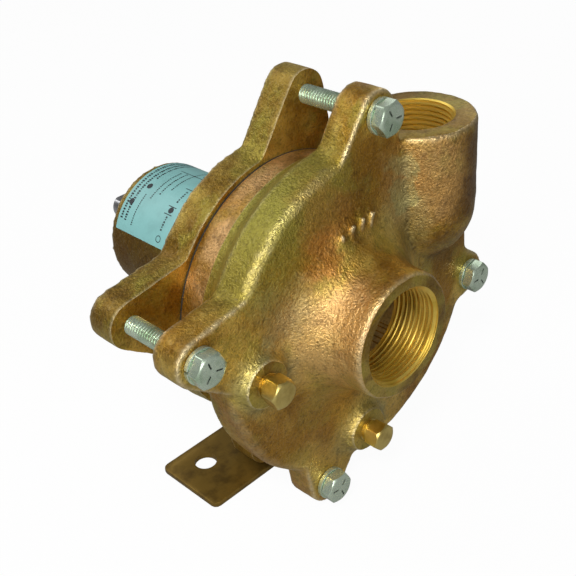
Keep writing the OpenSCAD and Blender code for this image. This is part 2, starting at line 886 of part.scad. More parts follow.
volute_casing();
casing_gasket();
pedestal_frame();
casing_bolts();
lock_washers();
side_drain_plug();
lower_drain_plug();
foot_bracket();
foot_screws();
foot_washers();
data_label();
shaft();
impeller();
impeller_key();
impeller_washer();
impeller_nut();
seal_seat();
seal_seat_cup();
seal_carbon_ring();
seal_retainer();
seal_bellows();
seal_spring();
slinger();
front_bearing_outer_ring();
front_bearing_inner_ring();
front_bearing_ball_set();
front_bearing_shields();
rear_bearing_outer_ring();
rear_bearing_inner_ring();
rear_bearing_ball_set();
rear_bearing_shields();
bearing_retaining_ring();
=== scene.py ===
import math

import bmesh
import bpy
import numpy
from mathutils import Matrix, Vector, noise


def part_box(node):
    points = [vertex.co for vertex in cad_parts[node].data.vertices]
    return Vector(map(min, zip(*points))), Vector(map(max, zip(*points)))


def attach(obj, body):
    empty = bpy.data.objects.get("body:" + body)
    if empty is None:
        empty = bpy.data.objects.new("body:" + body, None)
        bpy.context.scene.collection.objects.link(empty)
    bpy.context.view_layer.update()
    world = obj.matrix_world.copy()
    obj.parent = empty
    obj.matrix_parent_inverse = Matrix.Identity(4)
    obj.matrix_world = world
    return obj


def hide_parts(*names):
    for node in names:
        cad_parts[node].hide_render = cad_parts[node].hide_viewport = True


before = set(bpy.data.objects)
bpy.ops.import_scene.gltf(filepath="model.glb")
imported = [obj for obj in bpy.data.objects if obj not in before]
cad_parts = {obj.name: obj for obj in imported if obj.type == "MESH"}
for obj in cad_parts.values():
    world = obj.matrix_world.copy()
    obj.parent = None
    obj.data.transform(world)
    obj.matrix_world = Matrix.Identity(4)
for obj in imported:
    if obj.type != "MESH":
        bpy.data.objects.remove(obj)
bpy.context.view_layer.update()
print("frame loaded")

# The castings are shaped in millimetres and brought to metres when they are finished.
millimetre = 0.001

# Stations along the shaft, in millimetres behind the suction mouth
station = {
    "casingFace": 27.0,
    "joint": 64.0,
    "flange": 64.8,
    "barrel": 79.0,
    "barrelEnd": 148.0,
}

boltRing = {"radius": 80.0, "turn": 76.2, "count": 4}


# Camera, in the place that the photograph was taken from.
view = {
    "place": (-0.239, -0.198, 0.221),
    "yaw": -42.4,
    "pitch": 32.3,
    "roll": -4.8,
    "lens": 61.69,
}


def placeCamera():
    yaw, pitch, roll = (math.radians(view[name]) for name in ("yaw", "pitch", "roll"))
    back = Vector((math.sin(yaw) * math.cos(pitch), -math.cos(yaw) * math.cos(pitch), math.sin(pitch)))
    level = Vector((math.cos(yaw), math.sin(yaw), 0))
    rise = back.cross(level)
    right = level * math.cos(roll) + rise * math.sin(roll)
    up = rise * math.cos(roll) - level * math.sin(roll)
    data = bpy.data.cameras.new("camera")
    data.lens = view["lens"]
    data.sensor_width = 36
    data.clip_start = 0.01
    camera = bpy.data.objects.new("camera", data)
    turn = Matrix((right, up, back)).transposed().to_4x4()
    camera.matrix_world = Matrix.Translation(view["place"]) @ turn
    bpy.context.scene.collection.objects.link(camera)
    bpy.context.scene.camera = camera


placeCamera()
print("camera placed")


# Shader maths: a wire is one socket, and sums of wires add their own Math nodes.
class Wire:
    def __init__(self, tree, socket=None):
        self.tree = tree
        self.socket = socket

    def add(self, kind, settings=None, inputs=None, out=0):
        made = self.tree.nodes.new(kind)
        for name, value in (settings or {}).items():
            setattr(made, name, value)
        for name, value in (inputs or {}).items():
            if isinstance(value, Wire):
                self.tree.links.new(value.socket, made.inputs[name])
            else:
                made.inputs[name].default_value = value
        return Wire(self.tree, made.outputs[out])

    def sum(self, operation, *values):
        return self.add("ShaderNodeMath", {"operation": operation}, dict(enumerate(values)))

    def __add__(self, other):
        return self.sum("ADD", self, other)

    def __radd__(self, other):
        return self.sum("ADD", other, self)

    def __sub__(self, other):
        return self.sum("SUBTRACT", self, other)

    def __rsub__(self, other):
        return self.sum("SUBTRACT", other, self)

    def __mul__(self, other):
        return self.sum("MULTIPLY", self, other)

    def above(self, edge, softness):
        return self.add("ShaderNodeMapRange", {"interpolation_type": "SMOOTHSTEP"}, {
            "Value": self, "From Min": edge - softness, "From Max": edge + softness})

    def below(self, edge, softness):
        return 1 - self.above(edge, softness)

    def most(self, other):
        return self.sum("MAXIMUM", self, other)

    def blend(self, first, second):
        return self.add("ShaderNodeMix", {"data_type": "RGBA"}, {0: self, 6: first, 7: second}, 2)

    def split(self):
        node = self.tree.nodes.new("ShaderNodeSeparateXYZ")
        self.tree.links.new(self.socket, node.inputs[0])
        return [Wire(self.tree, output) for output in node.outputs]

    def noise(self, scale, detail=3.0, roughness=0.55, stretch=(1, 1, 1)):
        moved = self.add("ShaderNodeMapping", None, {"Vector": self, "Scale": stretch})
        return self.add("ShaderNodeTexNoise", None, {
            "Vector": moved, "Scale": scale, "Detail": detail, "Roughness": roughness})


def rgb(red, green, blue):
    shares = [value / 255 for value in (red, green, blue)]
    return tuple(s / 12.92 if s <= 0.04045 else ((s + 0.055) / 1.055) ** 2.4 for s in shares)


def rgba(*colour):
    return (*rgb(*colour), 1.0)


# A new material with its coordinates, and the call that fills in its main shader.
def startMaterial(name, **constants):
    material = bpy.data.materials.new(name)
    material.use_nodes = True
    tree = material.node_tree
    shader = tree.nodes["Principled BSDF"]
    for socket, value in constants.items():
        shader.inputs[socket.replace("_", " ")].default_value = value
    place = Wire(tree).add("ShaderNodeTexCoord", out=3)

    def feed(**links):
        for socket, wire in links.items():
            tree.links.new(wire.socket, shader.inputs[socket.replace("_", " ")])

    return material, place, feed


# World, lamps and floor.
studio = {
    "worldGlow": 0.15,
    "mirrorGlow": 0.12,
    "floorColour": 0.90,
    "floorBounce": 0.28,
    "floorWhiteness": 0.96,
    "floorMirror": 0.10,
    "floorSize": 24.0,
    "aim": (0, 0.06, 0),
    "lamps": [
        {"name": "keyLamp", "place": (-0.48, -0.30, 0.62), "size": 0.18, "power": 4.8},
        {"name": "leftLamp", "place": (-1.00, -0.15, 0.22), "size": 0.50, "power": 2.9},
        {"name": "frontLamp", "place": (-0.22, -1.05, 0.14), "size": 0.42, "power": 2.4},
        {"name": "sideLamp", "place": (0.90, 0.35, 0.60), "size": 0.80, "power": 1.8},
        {"name": "backLamp", "place": (-0.30, 1.00, 0.80), "size": 0.90, "power": 3.9},
    ],
}


def dressStudio():
    world = bpy.data.worlds.new("studio")
    bpy.context.scene.world = world
    world.use_nodes = True
    tree = world.node_tree
    rays = tree.nodes.new("ShaderNodeLightPath")
    direct = Wire(tree, rays.outputs["Is Camera Ray"])
    mirrored = Wire(tree, rays.outputs["Is Glossy Ray"])
    seenThrough = Wire(tree, rays.outputs["Is Transmission Ray"])
    white = direct.most(mirrored * studio["mirrorGlow"]).most(seenThrough)
    strength = white.most(studio["worldGlow"])
    background = tree.nodes["Background"]
    background.inputs["Color"].default_value = (1, 1, 1, 1)
    tree.links.new(strength.socket, background.inputs["Strength"])
    for lamp in studio["lamps"]:
        data = bpy.data.lights.new(lamp["name"], "AREA")
        data.shape = "DISK"
        data.size = lamp["size"]
        data.energy = lamp["power"]
        lampObject = bpy.data.objects.new(lamp["name"], data)
        aim = Vector(lamp["place"]) - Vector(studio["aim"])
        turn = aim.to_track_quat("Z", "Y").to_matrix().to_4x4()
        lampObject.matrix_world = Matrix.Translation(lamp["place"]) @ turn
        bpy.context.scene.collection.objects.link(lampObject)


def makeFloor():
    shape = bmesh.new()
    bmesh.ops.create_grid(shape, x_segments=1, y_segments=1, size=studio["floorSize"] / 2)
    mesh = bpy.data.meshes.new("floor")
    shape.to_mesh(mesh)
    floor = bpy.data.objects.new("floor", mesh)
    floor.location = (0, 0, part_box("foot_bracket")[0][2])
    bpy.context.scene.collection.objects.link(floor)
    material = bpy.data.materials.new("floorPaper")
    material.use_nodes = True
    tree = material.node_tree
    shader = tree.nodes["Principled BSDF"]
    shader.inputs["Roughness"].default_value = 0.9
    shader.inputs["Specular IOR Level"].default_value = 0.1
    rays = tree.nodes.new("ShaderNodeLightPath")
    direct = Wire(tree, rays.outputs["Is Camera Ray"])
    paper = direct.blend((studio["floorBounce"],) * 3 + (1,), (studio["floorColour"],) * 3 + (1,))
    tree.links.new(paper.socket, shader.inputs["Base Color"])
    mirrored = Wire(tree, rays.outputs["Is Glossy Ray"]) * studio["floorMirror"]
    seenThrough = Wire(tree, rays.outputs["Is Transmission Ray"])
    seen = direct.most(mirrored).most(seenThrough)
    glow = seen.add("ShaderNodeEmission", None, {"Color": (1, 1, 1, 1), "Strength": 1.0})
    mixed = seen.add("ShaderNodeMixShader", None, {0: seen * studio["floorWhiteness"], 2: glow})
    tree.links.new(shader.outputs[0], mixed.socket.node.inputs[1])
    tree.links.new(mixed.socket, tree.nodes["Material Output"].inputs["Surface"])
    mesh.materials.append(material)


dressStudio()
makeFloor()
bpy.context.scene.view_settings.view_transform = "Standard"
print("studio dressed")


# Materials.
bronzeLook = {
    "gold": rgba(228, 192, 94),
    "brown": rgba(170, 124, 36),
    "olive": rgba(168, 154, 62),
    "yellow": rgba(164, 156, 66),
    "copper": rgba(230, 184, 124),
    "red": rgba(224, 139, 71),
    "deep": rgba(105, 71, 13),
    "umber": rgba(144, 112, 38),
    "tan": rgba(196, 168, 80),
    "verdigris": rgba(185, 195, 134),
    # Near black: dark sand grains and flecks, and the painted shade in hollows.
    "darkGrainAndShade": rgba(40, 25, 3),
    # Pale: worn edges and pale grains, and the painted highlight on rims.
    "paleWearAndHighlight": rgba(240, 222, 176),
}


# Coloured spots on the casing: centre and radius in metres, colour, strength. The verdigris, yellow, red and
# copper spots tint the metal; the deep spots on the right of the discharge boss and under it are painted
# shade; the brown spots and the faint deep spot high on the face darken the colour there.
tintsAndPaintedShade = [
    {"place": (-0.042, 0.041, 0.049), "radius": 0.026, "colour": "yellow", "strength": 0.75},
    {"place": (-0.022, 0.044, 0.063), "radius": 0.026, "colour": "yellow", "strength": 0.80},
    {"place": (-0.026, 0.010, 0.008), "radius": 0.022, "colour": "copper", "strength": 0.60},
    {"place": (0.040, 0.016, 0.046), "radius": 0.019, "colour": "copper", "strength": 0.40},
    {"place": (-0.016, 0.026, 0.034), "radius": 0.009, "colour": "red", "strength": 0.30},
    {"place": (-0.052, 0.022, -0.003), "radius": 0.014, "colour": "verdigris", "strength": 0.55},
    {"place": (0.002, 0.022, -0.0595), "radius": 0.014, "colour": "verdigris", "strength": 0.45},
    # Painted shade on the right side of the discharge boss.
    {"place": (0.081, 0.028, 0.044), "radius": 0.019, "colour": "deep", "strength": 0.90},
    {"place": (0.084, 0.040, 0.030), "radius": 0.024, "colour": "deep", "strength": 0.70},
    {"place": (0.068, 0.017, 0.074), "radius": 0.012, "colour": "deep", "strength": 0.60},
    {"place": (0.067, 0.015, 0.050), "radius": 0.013, "colour": "deep", "strength": 0.80},
    {"place": (0.066, 0.018, 0.030), "radius": 0.014, "colour": "deep", "strength": 0.80},
    {"place": (0.030, 0.026, 0.054), "radius": 0.004, "colour": "verdigris", "strength": 0.35},
    {"place": (0.030, 0.026, 0.042), "radius": 0.004, "colour": "verdigris", "strength": 0.35},
    {"place": (-0.004, 0.012, -0.030), "radius": 0.016, "colour": "brown", "strength": 0.60},
    {"place": (0.012, 0.026, 0.052), "radius": 0.014, "colour": "deep", "strength": 0.22},
    {"place": (-0.014, 0.026, 0.050), "radius": 0.013, "colour": "red", "strength": 0.25},
    {"place": (0.026, 0.024, 0.026), "radius": 0.013, "colour": "verdigris", "strength": 0.30},
    {"place": (-0.038, 0.026, 0.022), "radius": 0.012, "colour": "verdigris", "strength": 0.22},
    # Painted shade under the discharge boss.
    {"place": (0.056, 0.026, 0.008), "radius": 0.016, "colour": "deep", "strength": 0.50},
    {"place": (-0.030, 0.027, -0.045), "radius": 0.034, "colour": "brown", "strength": 0.35},
]

# Painted shade on the lower part of the bearing barrel.
barrelPaintedShade = [
    {"place": (-0.032, 0.128, -0.012), "radius": 0.036, "colour": "deep", "strength": 0.85},
    {"place": (0.030, 0.125, -0.020), "radius": 0.040, "colour": "deep", "strength": 0.60},
]


# Noise scales per metre, the blur of a tint's edge in metres, and the depth of the sand's grain.
castGrain = {
    "clouds": 26.0,
    "patches": 48.0,
    "flecks": 420.0,
    "stains": 95.0,
    "copper": 17.0,
    "sand": 1000.0,
    "lumps": 360.0,
    "tintBlur": 0.03,
    "depth": 0.0005,
}


# Sand-cast bronze: mottled brown and gold with olive and copper patches, with painted shade in its hollows
# and pale rims on its edges that are partly wear and partly painted highlight.
def castBronze(name, low, high, patina, copper, shine, grain, edges=1.0, spots=()):
    material, place, feed = startMaterial(
        name, Metallic=0.84, Specular_IOR_Level=0.35, Coat_Weight=0.05, Coat_Roughness=0.30)
    cloud = place.noise(castGrain["clouds"], 4.0, 0.6)
    patches = place.noise(castGrain["patches"], 4.0, 0.65, (1.0, 1.3, 1.0))
    flecks = place.noise(castGrain["flecks"], 3.0, 0.7)
    base = cloud.above(0.52, 0.10).blend(bronzeLook[low], bronzeLook[high])
    stains = place.noise(castGrain["stains"], 3.0, 0.6)
    base = (stains.below(0.43, 0.07) * 0.42).blend(base, bronzeLook["deep"])
    green = patches.above(0.56, 0.10) * patina
    base = green.blend(base, bronzeLook["olive"])
    reddish = place.noise(castGrain["copper"], 3.0, 0.5, (1.0, 1.0, 1.4)).above(0.58, 0.07) * copper
    base = reddish.blend(base, bronzeLook["copper"])
    for spot in spots:
        gap = place.add("ShaderNodeVectorMath", {"operation": "DISTANCE"}, {0: place, 1: spot["place"]}, 1)
        gap = gap + (patches - 0.5) * castGrain["tintBlur"]
        base = (gap.below(spot["radius"], spot["radius"] * 0.4) * spot["strength"]).blend(
            base, bronzeLook[spot["colour"]])
    base = (flecks.above(0.60, 0.08) * 0.35).blend(base, bronzeLook["darkGrainAndShade"])
    pointiness = place.add("ShaderNodeNewGeometry", out=7)
    # Painted shade: hollows found by pointiness are darkened; edges sets how strong this and the rims are.
    paintedHollowShade = pointiness.below(0.484, 0.016) * (0.65 * edges)
    # Pale rims on sharp edges: partly edge wear, partly painted highlight.
    rim = pointiness.above(0.530, 0.028) * (0.7 * edges)
    base = paintedHollowShade.blend(base, bronzeLook["darkGrainAndShade"])
    base = rim.blend(base, bronzeLook["paleWearAndHighlight"])
    sand = place.noise(castGrain["sand"], 2.0, 0.65)
    lumps = place.noise(castGrain["lumps"], 3.0, 0.6)
    base = (sand.below(0.42, 0.06) * 0.26).blend(base, bronzeLook["darkGrainAndShade"])
    base = (sand.above(0.60, 0.06) * 0.08).blend(base, bronzeLook["paleWearAndHighlight"])
    rough = shine + (flecks - 0.5) * 0.25 + (1 - rim) * 0.05
    relief = place.add("ShaderNodeBump", None, {
        "Strength": grain, "Distance": castGrain["depth"], "Height": sand + lumps})
    feed(Base_Color=base, Roughness=rough, Normal=relief)
    return material


# Turned bronze: brighter, with the fine rings that a lathe tool leaves.
def turnedBronze(name, colour, dull, ringPitch):
    material, place, feed = startMaterial(name, Metallic=0.78)
    along = place.split()[1]
    rings = place.sum("SINE", along * (math.tau / ringPitch))
    stain = place.noise(60.0, 4.0, 0.6)
    base = stain.above(0.55, 0.12).blend(colour, dull)
    relief = place.add("ShaderNodeBump", None, {
        "Strength": 0.25, "Distance": 0.0001, "Height": rings + place.noise(700.0, 2.0)})
    feed(Base_Color=base, Roughness=0.26 + stain * 0.16, Normal=relief)
    return material


# A smooth surface with faint stains: plated and ground metal, label film, rubber and seal parts.
def plainMetal(name, colour, dull, roughness, metallic=1.0, grain=500.0):
    material, place, feed = startMaterial(name, Metallic=metallic)
    stain = place.noise(90.0, 4.0, 0.65)
    fine = place.noise(grain, 3.0, 0.6)
    base = stain.above(0.56, 0.14).blend(colour, dull)
    relief = place.add("ShaderNodeBump", None, {"Strength": 0.15, "Distance": 0.0001, "Height": fine})
    feed(Base_Color=base, Roughness=roughness + (fine - 0.5) * 0.2, Normal=relief)
    return material


finish = {
    "casing": castBronze("castBronzeCasing", "brown", "gold", 0.65, 0.12, 0.38, 0.90, 1.0, tintsAndPaintedShade),
    "neck": castBronze("castBronzeNeck", "brown", "copper", 0.30, 0.80, 0.42, 0.80, 0.0),
    "frame": castBronze("castBronzeFrame", "umber", "tan", 0.80, 0.10, 0.40, 0.85, 1.0, barrelPaintedShade),
    "face": castBronze("castBronzeFace", "brown", "gold", 0.60, 0.10, 0.42, 0.70, 0.0),
    "rim": castBronze("machinedRim", "umber", "tan", 0.70, 0.05, 0.40, 0.35, 0.0),
    "turned": turnedBronze("turnedBronze", rgba(238, 206, 98), rgba(208, 172, 62), 0.0006),
    "zinc": plainMetal("zincPlate", rgba(212, 228, 206), rgba(172, 194, 164), 0.28, 0.8),
    "plug": plainMetal("plugBrass", rgba(236, 212, 128), rgba(196, 168, 88), 0.32, 1.0),
    "steel": plainMetal("groundSteel", rgba(220, 220, 222), rgba(173, 173, 176), 0.28),
    "foot": plainMetal("coatedSteel", rgba(132, 105, 44), rgba(98, 76, 30), 0.42, 0.7),
    "label": plainMetal("labelFilm", rgba(134, 189, 187), rgba(127, 179, 177), 0.45, 0.0),
    "ink": plainMetal("labelInk", rgba(26, 32, 36), rgba(34, 40, 44), 0.5, 0.0),
    "rubber": plainMetal("blackRubber", rgba(30, 30, 32), rgba(22, 22, 24), 0.7, 0.0),
    "gasket": plainMetal("gasketSheet", rgba(50, 46, 38), rgba(38, 34, 28), 0.85, 0.0),
    "ceramic": plainMetal("sealCeramic", rgba(232, 228, 216), rgba(222, 216, 200), 0.3, 0.0),
    "carbon": plainMetal("sealCarbon", rgba(52, 52, 54), rgba(42, 42, 44), 0.5, 0.1),
}
print("materials made")


# Solids. Each helper returns a mesh in millimetres that is closed and faces outwards.
def keptMesh(shape, name):
    bmesh.ops.remove_doubles(shape, verts=shape.verts, dist=0.0005)
    bmesh.ops.recalc_face_normals(shape, faces=shape.faces)
    mesh = bpy.data.meshes.new(name)
    shape.to_mesh(mesh)
    shape.free()
    return mesh


# Turns an outline of (radius, distance along the axis) about an axis through centre.
def turnedMesh(outline, steps=96, axis="Y", centre=(0, 0, 0)):
    shape = bmesh.new()
    middle = Vector(centre)
    way = Vector((0, 1, 0)) if axis == "Y" else Vector((0, 0, 1))
    corners = [
        shape.verts.new(middle + Vector((radius, 0, 0)) + way * along) for radius, along in outline]
    line = [shape.edges.new(pair) for pair in zip(corners, corners[1:])]
    if outline[0][0] > 0:
        line.append(shape.edges.new((corners[-1], corners[0])))
    bmesh.ops.spin(
        shape, geom=corners + line, cent=middle, axis=way, angle=math.tau, steps=steps, use_merge=True)
    return keptMesh(shape, "turned")


def rodMesh(start, end, radius, endRadius=None, steps=96, axis="Y", centre=(0, 0, 0)):
    endRadius = radius if endRadius is None else endRadius
    return turnedMesh([(0, start), (radius, start), (endRadius, end), (0, end)], steps, axis, centre)


def boxMesh(low, high):
    shape = bmesh.new()
    bmesh.ops.create_cube(shape, size=1.0)
    size = [high[i] - low[i] for i in range(3)]
    bmesh.ops.scale(shape, vec=size, verts=shape.verts)
    bmesh.ops.translate(shape, vec=[(high[i] + low[i]) / 2 for i in range(3)], verts=shape.verts)
    return keptMesh(shape, "box")


# Points of an arc in the plane of an outline.
def arcPoints(middle, radius, start, end, count=8):
    turns = [math.radians(start + (end - start) * i / count) for i in range(count + 1)]
    return [(middle[0] + radius * math.cos(turn), middle[1] + radius * math.sin(turn)) for turn in turns]


def joinedMesh(meshes, name):
    shape = bmesh.new()
    for mesh in meshes:
        shape.from_mesh(mesh)
    joined = bpy.data.meshes.new(name)
    shape.to_mesh(joined)
    shape.free()
    return joined


def shownObject(mesh, name):
    made = bpy.data.objects.new(name, mesh)
    bpy.context.scene.collection.objects.link(made)
    return made


# The mesh that an object has once its modifiers are applied.
def applied(made):
    graph = bpy.context.evaluated_depsgraph_get()
    mesh = bpy.data.meshes.new_from_object(made.evaluated_get(graph), depsgraph=graph)
    made.modifiers.clear()
    made.data = mesh
    return mesh


# Melts overlapping solids into one skin of small squares.
def meltTogether(made, voxel):
    melt = made.modifiers.new("melt", "REMESH")
    melt.mode = "VOXEL"
    melt.voxel_size = voxel
    applied(made)


def evenOut(made, rounds):
    even = made.modifiers.new("even", "SMOOTH")
    even.factor = 0.5
    even.iterations = rounds
    applied(made)


# Fills the hollows between merged solids into cast fillets, and leaves the outer edges.
def fillHollows(made, rounds, share=0.5, crisp=None):
    mesh = made.data
    count = len(mesh.vertices)
    points = numpy.empty(count * 3)
    mesh.vertices.foreach_get("co", points)
    points = points.reshape(-1, 3)
    shares = numpy.full(count, share)
    if crisp:
        gaps = numpy.linalg.norm(points - numpy.array(crisp["place"]), axis=1)
        shares = share * numpy.clip((gaps - crisp["radius"]) / crisp["fade"], crisp["share"], 1.0)
    ends = numpy.empty(len(mesh.edges) * 2, dtype=numpy.int32)
    mesh.edges.foreach_get("vertices", ends)
    ends = ends.reshape(-1, 2)
    neighbours = numpy.bincount(ends.ravel(), minlength=count)[:, None]
    normals = numpy.empty(count * 3)
    for step in range(rounds):
        if step % 6 == 0:
            mesh.vertices.foreach_set("co", points.ravel())
            mesh.update()
            mesh.vertex_normals.foreach_get("vector", normals)
        total = numpy.stack([
            numpy.bincount(ends[:, 0], points[ends[:, 1], i], count)
            + numpy.bincount(ends[:, 1], points[ends[:, 0], i], count) for i in range(3)], axis=1)
        pull = total / neighbours - points
        outward = (pull * normals.reshape(-1, 3)).sum(axis=1) > 0
        points = points + pull * (outward * shares)[:, None]
    mesh.vertices.foreach_set("co", points.ravel())
    mesh.update()


# Gives a casting the slight waves that hand-rammed sand leaves.
def ruffle(made, height, size):
    mesh = made.data
    normals = [item.vector.copy() for item in mesh.vertex_normals]
    for vertex, normal in zip(mesh.vertices, normals):
        lift = noise.fractal(vertex.co / size, 0.8, 2.0, 3)
        vertex.co += normal * (lift * height)
    mesh.update()


# Cuts solids out of a piece or welds them on. Faces that they leave take the given finish.
def combine(made, meshes, material, operation):
    for mesh in meshes:
        mesh.materials.clear()
        mesh.materials.append(material)
        tool = shownObject(mesh, "tool")
        step = made.modifiers.new("combine", "BOOLEAN")
        step.operation = operation
        step.solver = "MANIFOLD"
        step.material_mode = "TRANSFER"
        step.object = tool
        applied(made)
        bpy.data.objects.remove(tool)


def cutAway(made, meshes, material):
    combine(made, meshes, material, "DIFFERENCE")


def weldOn(made, meshes, material):
    combine(made, meshes, material, "UNION")


# Brings a finished piece to metres, shades it and hands it to the frame.
def finishPiece(made, replaced=(), body="pump_body", sharp=35.0):
    made.data.transform(Matrix.Scale(millimetre, 4))
    made.data.shade_smooth()
    made.data.set_sharp_from_angle(angle=math.radians(sharp))
    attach(made, body)
    if replaced:
        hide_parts(*replaced)
    triangles = sum(len(face.vertices) - 2 for face in made.data.polygons)
    print(made.name, triangles, "triangles")


# Turns a mesh from the +X direction to each bolt's place on the bolt circle.
def atBolts(mesh):
    placed = []
    for i in range(boltRing["count"]):
        turn = math.radians(boltRing["turn"] + 360 * i / boltRing["count"])
        copy = mesh.copy()
        copy.transform(Matrix.Rotation(-turn, 4, "Y") @ Matrix.Translation((boltRing["radius"], 0, 0)))
        placed.append(copy)
    return placed


# One ear, drawn with its bolt at the origin: the hull of its round tip and its root.
def earMesh(start, tipEnd, rootEnd, tipRadius, run, halfRoots):
    shape = bmesh.new()
    for end in (start, tipEnd):
        place = Matrix.Translation((0, end, 0)) @ Matrix.Rotation(math.pi / 2, 4, "X")
        bmesh.ops.create_circle(shape, segments=48, radius=tipRadius, matrix=place)
    for end, half in zip((start, rootEnd), halfRoots):
        for side in (-1, 1):
            shape.verts.new((-run, end, side * half))
    made = bmesh.ops.convex_hull(shape, input=shape.verts)
    bmesh.ops.delete(shape, geom=made["geom_unused"] + made["geom_interior"], context="VERTS")
    return keptMesh(shape, "ear")


# The helical surface of a screw, trimmed flat at both ends. Crest and root are radii.
def threadMesh(start, end, crest, root, pitch, steps, axis="Y", centre=(0, 0, 0)):
    shape = bmesh.new()
    middle = Vector(centre)
    way = Vector((0, 1, 0)) if axis == "Y" else Vector((0, 0, 1))
    turns = math.ceil((end - start) / pitch) + 2
    flat = pitch / 8
    tooth = [
        (root, 0), (root, flat), (crest, pitch / 2 - flat / 2), (crest, pitch / 2 + flat / 2), (root, pitch)]
    first = start - pitch
    corners = [
        shape.verts.new(middle + Vector((radius, 0, 0)) + way * (first + along)) for radius, along in tooth]
    line = [shape.edges.new(pair) for pair in zip(corners, corners[1:])]
    bmesh.ops.spin(
        shape, geom=corners + line, cent=middle, axis=way, dvec=way * (pitch / steps),
        angle=math.tau * turns, steps=steps * turns)
    bmesh.ops.remove_doubles(shape, verts=shape.verts, dist=0.005)
    for place, side in ((start, -1), (end, 1)):
        bmesh.ops.bisect_plane(
            shape, geom=shape.verts[:] + shape.edges[:] + shape.faces[:], dist=0.0001,
            plane_co=middle + way * place, plane_no=way * side, clear_outer=True)
        rim = [edge for edge in shape.edges if edge.is_boundary and all(
            abs((corner.co - middle).dot(way) - place) < 0.001 for corner in edge.verts)]
        bmesh.ops.triangle_fill(shape, edges=rim, use_beauty=True)
    return keptMesh(shape, "thread")


# Volute casing.
casing = {
    "scrollRadius": 71.0,
    "scrollShift": (6.0, 0.0, -4.0),
    "wall": 5.0,
    "faceRounding": 3.6,
    "frontWall": 6.0,
    "neckRadius": 57.5,
    "neckBore": 50.0,
    "suctionRadius": 26.2,
    "suctionThread": 20.9,
    "eyeRadius": 17.5,
    "flareRadius": 20.0,
    "dischargePlace": (54.7, 39.0),
    "dischargeTop": 63.4,
    "dischargeRadius": 25.4,
    "dischargeThread": 16.6,
    "throatRadius": 18.0,
    "dischargeFoot": 25.0,
    "threadPitch": 2.209,
    "threadDepth": 1.5,
    "threadLength": 20.0,
    "earTip": 10.0,
    "earThickness": 14.0,
    "earRootThickness": 17.0,
    "earRun": 24.0,
    "earHalfRoots": (21.0, 17.0),
    "boltHole": 4.29,
    "machinedNeckStart": 54.7,
    "neckLean": (0.035, -0.023),
    "faceBulge": 1.6,
    "plugs": {"sidePlug": (-52.0, -3.0), "lowerPlug": (2.0, -59.5)},
    "plugBossRadius": 10.0,
    "plugBossHeight": 5.0,
    "plugHole": 5.13,
    "plugFacing": 12.0,
    "mouthChamfer": 1.9,
    "mouthStock": 0.45,
    "crispFillets": {"place": (52.0, 26.0, 36.0), "radius": 30.0, "fade": 12.0, "share": 0.18},
    "padLength": 6.5,
    "padWidth": 2.2,
    "padPlaces": ((-7.0, 36.5, 8.0), (-1.5, 38.0, 12.0), (4.0, 39.0, 16.0), (9.5, 39.5, 20.0)),
    "voxel": 1.05,
    "evenRounds": 3,
    "fillRounds": 45,
    "waveHeight": 0.22,
    "waveSize": 9.0,
}


def casingBlank():
    face = station["casingFace"]
    depth = station["joint"] - face
    radius = casing["scrollRadius"]
    wall = casing["wall"]
    rounding = casing["faceRounding"]
    shoulder = radius - wall * 1.3
    scroll = turnedMesh(
        [(0, face - casing["faceBulge"]), (30, face - casing["faceBulge"])]
        + arcPoints((radius - rounding, face + rounding), rounding, -84, 0)
        + [(radius, face + depth * 0.4), (shoulder, face + depth * 0.62),
           (casing["neckRadius"], face + depth * 0.82), (0, face + depth * 0.82)], 128)
    scroll.transform(Matrix.Translation(casing["scrollShift"]))
    neck = rodMesh(face + depth * 0.6, station["joint"] + 1, casing["neckRadius"] + 0.8, None, 128)
    boss = casing["suctionRadius"]
    flare = casing["flareRadius"]
    suction = turnedMesh(
        [(0, -casing["mouthStock"])] + arcPoints((boss - 2, 2 - casing["mouthStock"]), 2, -90, 0, 4)
        + arcPoints((boss + flare, face - flare), flare, 180, 90)
        + [(boss + flare, face + 3), (0, face + 3)], 96)
    across, along = casing["dischargePlace"]
    foot = casing["dischargeFoot"]
    wide = casing["dischargeRadius"]
    crown = casing["dischargeTop"] + casing["mouthStock"]
    discharge = turnedMesh(
        [(0, foot - wide)] + arcPoints((0, foot), wide, -82, 0, 10)
        + arcPoints((wide - 2, crown - 2), 2, 0, 90, 4) + [(0, crown)], 96, "Z", (across, along, 0))
    ears = atBolts(earMesh(
        face, face + casing["earThickness"], face + casing["earRootThickness"], casing["earTip"],
        casing["earRun"], casing["earHalfRoots"]))
    bosses = [rodMesh(
        face - casing["plugBossHeight"] - casing["mouthStock"], face + 3, casing["plugBossRadius"],
        casing["plugBossRadius"] + 1.2, 48, "Y", (x, 0, z)) for x, z in casing["plugs"].values()]
    pads = []
    for x, z, lean in casing["padPlaces"]:
        long, wide = casing["padLength"] / 2, casing["padWidth"] / 2
        pad = boxMesh((-wide, face - 4.0, -long), (wide, face + 2, long))
        pads.append(pad)
        pad.transform(Matrix.Translation((x, 0, z)) @ Matrix.Rotation(math.radians(lean), 4, "Y"))
    return joinedMesh([scroll, neck, suction, discharge] + ears + bosses + pads, "voluteCasing")


